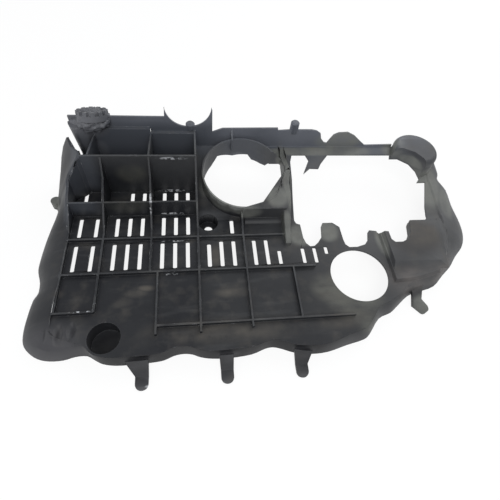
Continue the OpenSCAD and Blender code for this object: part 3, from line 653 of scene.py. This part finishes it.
# The finish: satin where the plastic is fresh, duller where it has aged, dead matt under dust.
# The grain and the slow waves of the moulding are raised as bumps.
satin, aged, dusted = 0.42, 0.58, 0.85
sheen, rolled_sheen = 0.30, 0.10
grain_strength, grain_height = 0.25, 0.0001
wave_strength, wave_height = 0.35, 0.0012

rough = node("ShaderNodeMix", data_type="FLOAT", in_2=satin, in_3=aged)
link(mottle, rough)
dusty = node("ShaderNodeMix", data_type="FLOAT", in_3=dusted)
link(dust, dusty)
link(rough, dusty, into=2)
gleam = node("ShaderNodeMix", data_type="FLOAT", in_2=sheen, in_3=rolled_sheen)
link(shaded_front_edge, gleam)

grain = node("ShaderNodeBump")
grain.inputs["Strength"].default_value = grain_strength
grain.inputs["Distance"].default_value = grain_height
link(noise_at(1300, 2), grain, into="Height")
waves = node("ShaderNodeBump")
waves.inputs["Strength"].default_value = wave_strength
waves.inputs["Distance"].default_value = wave_height
link(noise_at(26, 2), waves, into="Height")
link(grain, waves, into="Normal")

surface = node("ShaderNodeBsdfPrincipled")
link(base, surface, out=2)
link(dusty, surface, into="Roughness")
link(waves, surface, into="Normal")
link(gleam, surface, into="Specular IOR Level")
link(surface, node("ShaderNodeOutputMaterial"))
for piece in (moulding, knob):
    piece.data.materials.clear()
    piece.data.materials.append(plastic)

# The floor: a plain white sheet that the rim of the skirt rests on. It shines white to the camera
# and in reflections, and keeps a faint shadow of the part.
floor_size, floor_gap = 40, 0.0002
paper_white, glow_white, glow_share = (0.86, 0.86, 0.86, 1), (1, 1, 1, 1), 0.88

bpy.ops.object.select_all(action="DESELECT")
bpy.ops.mesh.primitive_plane_add(size=floor_size, location=(0, 0, cad_low.z - floor_gap))
floor = bpy.context.object
floor.name = "white_floor"
bpy.ops.object.transform_apply(location=True, rotation=False, scale=False)
white = bpy.data.materials.new("white_floor")
white.use_nodes = True
tree = white.node_tree
tree.nodes.clear()
paper = node("ShaderNodeBsdfDiffuse")
paper.inputs["Color"].default_value = paper_white
glow = node("ShaderNodeEmission")
glow.inputs["Color"].default_value = glow_white
glow.inputs["Strength"].default_value = 1.0
rays = node("ShaderNodeLightPath")
seen = node("ShaderNodeMath", operation="MAXIMUM")
link(rays, seen, out="Is Camera Ray")
link(rays, seen, out="Is Glossy Ray", into=1)
share = node("ShaderNodeMath", operation="MULTIPLY", in_1=glow_share)
link(seen, share)
mixed = node("ShaderNodeMixShader")
link(share, mixed)
link(paper, mixed, into=1)
link(glow, mixed, into=2)
link(mixed, node("ShaderNodeOutputMaterial"))
floor.data.materials.append(white)

# The studio: a white sky, a wide soft lamp behind the right-hand corner, which lays the sheen on
# the arm and the skirt there, one in front, and a weak one on the left.
sky_white, sky_strength = (0.94, 0.97, 1.0, 1), 0.56
lamps = (  # name, place, aim, size in metres, watts
    ("lamp_back_right", (1.25, 1.15, 1.25), (0.15, 0, 0), 1.6, 20),
    ("lamp_front", (0.0, -1.2, 1.5), (0.0, 0.05, 0), 1.4, 24),
    ("lamp_left", (-1.6, 0.3, 0.9), (0, 0, 0), 1.6, 5),
)

sky = bpy.data.worlds.new("white_sky")
bpy.context.scene.world = sky
sky.use_nodes = True
sky.node_tree.nodes["Background"].inputs["Color"].default_value = sky_white
sky.node_tree.nodes["Background"].inputs["Strength"].default_value = sky_strength
for name, spot, aim, size, power in lamps:
    lamp = bpy.data.lights.new(name, "AREA")
    lamp.size = size
    lamp.energy = power
    holder = bpy.data.objects.new(name, lamp)
    bpy.context.scene.collection.objects.link(holder)
    holder.location = spot
    holder.rotation_euler = (Vector(aim) - Vector(spot)).to_track_quat("-Z", "Y").to_euler()

# The camera stands in front of the part and 0.42 m above it, looking down past the screw cup.
# Its place, turn and focal length are those solved from the photograph.
sensor, focal_length, near_clip = 36, 26.784, 0.01
eye = Vector((-0.0132, -0.3142, 0.4222))
right = Vector((0.990, -0.1023, 0.0933)).normalized()
up = Vector((0.0348, 0.833, 0.5521))
up = (up - up.dot(right) * right).normalized()
back = right.cross(up)

lens = bpy.data.cameras.new("camera")
lens.sensor_width = sensor
lens.lens = focal_length
lens.clip_start = near_clip
camera = bpy.data.objects.new("camera", lens)
bpy.context.scene.collection.objects.link(camera)
camera.matrix_world = Matrix(
    [(right[i], up[i], back[i], eye[i]) for i in range(3)] + [(0, 0, 0, 1)]
)
bpy.context.scene.camera = camera
bpy.context.scene.view_settings.view_transform = "Standard"
